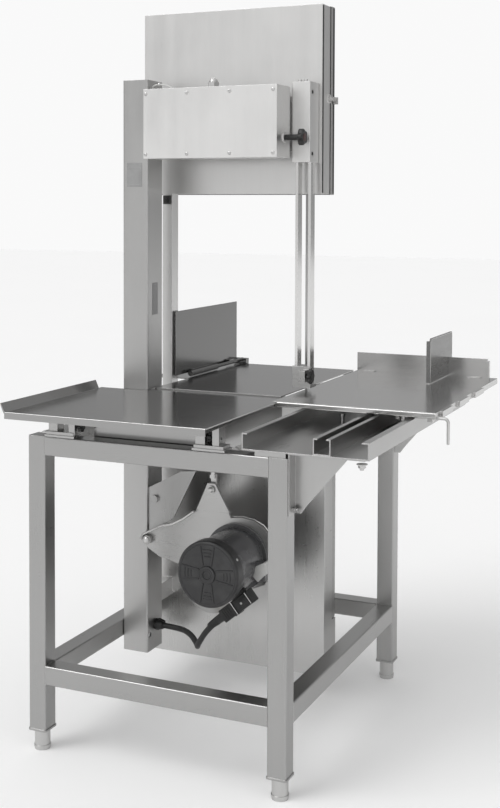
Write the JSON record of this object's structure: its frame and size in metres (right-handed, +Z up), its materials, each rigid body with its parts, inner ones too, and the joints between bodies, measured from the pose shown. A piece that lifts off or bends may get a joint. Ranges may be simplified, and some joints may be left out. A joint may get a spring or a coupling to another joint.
{
  "type": "butcher bone saw",
  "caption": "Floor-standing butcher's bone saw with square-tube stand, column, wheel housings, guided blade, fixed and sliding tables and a belt-driven motor.",
  "frame": {"origin": "bottom centre of the whole machine's bounding box, on the floor under the four levelling feet", "axes": "+Z up; +Y from the motor side towards the operator's side, where the wheel doors open and the blade's teeth face; +X from the column towards the sliding table"},
  "size_m": [1.051, 1.166, 1.991],
  "materials": {
    "stainless": "fine satin grain",
    "stainless_dark": "satin, darker with use",
    "sheet": "bright brushed sheet",
    "bright_bar": "ground and polished",
    "blade_steel": "bare strip steel",
    "cast": "machined casting",
    "motor_paint": "semi-matt dark grey enamel",
    "black_plastic": "moulded, lightly textured",
    "rubber": "matt",
    "zinc": "zinc plated"
  },
  "bodies": {
    "machine": {"leg_rear_left": "stainless", "leg_rear_right": "stainless", "leg_front_left": "stainless", "leg_front_right": "stainless", "low_rail_rear": "stainless", "low_rail_front": "stainless", "low_rail_left": "stainless", "low_rail_right": "stainless", "top_rail_rear": "stainless", "top_rail_front": "stainless", "top_rail_left": "stainless", "top_rail_right": "stainless", "column": "stainless", "cable_gland": "black_plastic", "beam_box": "sheet", "beam_cover": "sheet", "upper_housing": "sheet", "lower_housing": "sheet", "return_guard": "sheet", "blade": "blade_steel", "rear_table": "sheet", "main_table": "sheet", "table_supports": "stainless", "slide_tray": "stainless", "tray_strut": "stainless", "tray_gussets": "stainless", "guide_holder": "sheet", "column_gusset": "stainless", "belt": "rubber", "motor_lead": "rubber"},
    "levelling_foot_rear_left": {"foot_rear_left": "stainless_dark"},
    "levelling_foot_rear_right": {"foot_rear_right": "stainless_dark"},
    "levelling_foot_front_left": {"foot_front_left": "stainless_dark"},
    "levelling_foot_front_right": {"foot_front_right": "stainless_dark"},
    "head_door": {"upper_door": "sheet"},
    "head_latch": {"upper_latch": "zinc"},
    "base_door": {"lower_door": "sheet"},
    "lower_drive": {"lower_wheel": "cast", "lower_shaft": "zinc", "driven_pulley": "cast"},
    "tension_carriage": {"upper_carriage": "zinc"},
    "tension_screw_head": {"tension_screw": "zinc"},
    "head_wheel": {"upper_wheel": "cast"},
    "motor_carrier": {"swing_plate": "stainless", "motor": "motor_paint", "motor_connector": "black_plastic", "tension_rod": "zinc"},
    "motor_rotor": {"motor_pulley": "cast"},
    "blade_guide": {"guide_post": "bright_bar", "guide_block": "sheet"},
    "guide_star": {"guide_knob": "black_plastic"},
    "post_clamp": {"clamp_knob": "black_plastic"},
    "moving_table": {"sliding_table": "sheet", "fence": "sheet"},
    "pusher": {"meat_pusher": "sheet"},
    "table_lock": {"lock_lever": "black_plastic"},
    "gauge": {"gauge_plate": "sheet"},
    "gauge_clamp": {"gauge_knob": "black_plastic"},
    "bearer_knob_left": {"support_knob_left": "black_plastic"},
    "bearer_knob_right": {"support_knob_right": "black_plastic"}
  },
  "joints": [
    {"name": "foot_rear_left_screw", "type": "slide", "parent": "machine", "child": "levelling_foot_rear_left", "axis": [0, 0, -1], "range_m": [0, 0.02]},
    {"name": "foot_rear_right_screw", "type": "slide", "parent": "machine", "child": "levelling_foot_rear_right", "axis": [0, 0, -1], "range_m": [0, 0.02]},
    {"name": "foot_front_left_screw", "type": "slide", "parent": "machine", "child": "levelling_foot_front_left", "axis": [0, 0, -1], "range_m": [0, 0.02]},
    {"name": "foot_front_right_screw", "type": "slide", "parent": "machine", "child": "levelling_foot_front_right", "axis": [0, 0, -1], "range_m": [0, 0.02]},
    {"name": "upper_door_hinge", "type": "hinge", "parent": "machine", "child": "head_door", "pos_m": [-0.4765, 0.137, 1.724], "axis": [0, 0, 1], "range_deg": [0, 110]},
    {"name": "upper_latch_pivot", "type": "hinge", "parent": "machine", "child": "head_latch", "pos_m": [0.1025, 0.125, 1.729], "axis": [1, 0, 0], "range_deg": [0, 95]},
    {"name": "lower_door_hinge", "type": "hinge", "parent": "machine", "child": "base_door", "pos_m": [-0.4325, 0.17, 0.503], "axis": [0, 0, 1], "range_deg": [0, 90]},
    {"name": "lower_wheel_spin", "type": "hinge", "parent": "machine", "child": "lower_drive", "pos_m": [-0.1745, 0.11, 0.353], "axis": [0, 1, 0], "continuous": true},
    {"name": "tension_slide", "type": "slide", "parent": "machine", "child": "tension_carriage", "axis": [0, 0, 1], "range_m": [-0.01, 0]},
    {"name": "tension_screw_turn", "type": "hinge", "parent": "machine", "child": "tension_screw_head", "pos_m": [-0.1745, -0.063, 1.76], "axis": [0, 0, 1], "range_deg": [0, 1440]},
    {"name": "upper_wheel_spin", "type": "hinge", "parent": "tension_carriage", "child": "head_wheel", "pos_m": [-0.1745, 0.11, 1.715], "axis": [0, 1, 0], "continuous": true},
    {"name": "swing_plate_pivot", "type": "hinge", "parent": "machine", "child": "motor_carrier", "pos_m": [-0.3545, -0.105, 0.475], "axis": [0, -1, 0], "range_deg": [0, 2], "deforming": ["belt", "motor_lead"]},
    {"name": "motor_spin", "type": "hinge", "parent": "motor_carrier", "child": "motor_rotor", "pos_m": [-0.0755, -0.064, 0.459], "axis": [0, 1, 0], "continuous": true},
    {"name": "guide_post_slide", "type": "slide", "parent": "machine", "child": "blade_guide", "axis": [0, 0, 1], "range_m": [0, 0.45]},
    {"name": "guide_knob_turn", "type": "hinge", "parent": "blade_guide", "child": "guide_star", "pos_m": [0.0905, -0.004, 0.954], "axis": [1, 0, 0], "range_deg": [0, 360]},
    {"name": "clamp_knob_turn", "type": "hinge", "parent": "machine", "child": "post_clamp", "pos_m": [0.0655, -0.048, 1.612], "axis": [1, 0, 0], "range_deg": [0, 360]},
    {"name": "table_slide", "type": "slide", "parent": "machine", "child": "moving_table", "axis": [0, -1, 0], "range_m": [0, 0.4]},
    {"name": "pusher_slide", "type": "slide", "parent": "moving_table", "child": "pusher", "axis": [1, 0, 0], "range_m": [-0.22, 0.1]},
    {"name": "table_lock_turn", "type": "hinge", "parent": "moving_table", "child": "table_lock", "pos_m": [0.5055, -0.137, 0.8875], "axis": [1, 0, 0], "range_deg": [-80, 80]},
    {"name": "gauge_slide", "type": "slide", "parent": "machine", "child": "gauge", "axis": [1, 0, 0], "range_m": [0, 0.35]},
    {"name": "gauge_knob_turn", "type": "hinge", "parent": "gauge", "child": "gauge_clamp", "pos_m": [-0.3665, 0.561, 0.889], "axis": [0, 1, 0], "range_deg": [0, 360]},
    {"name": "support_knob_left_turn", "type": "hinge", "parent": "machine", "child": "bearer_knob_left", "pos_m": [-0.3495, -0.483, 0.859], "axis": [1, 0, 0], "range_deg": [0, 360]},
    {"name": "support_knob_right_turn", "type": "hinge", "parent": "machine", "child": "bearer_knob_right", "pos_m": [0.0255, -0.483, 0.859], "axis": [1, 0, 0], "range_deg": [0, 360]}
  ],
  "couplings": [
    {"joint": "upper_wheel_spin", "follows": "lower_wheel_spin", "ratio": 1},
    {"joint": "motor_spin", "follows": "lower_wheel_spin", "ratio": 1.7333},
    {"joint": "tension_screw_turn", "follows": "tension_slide", "rad_per_m": -2513.3}
  ]
}
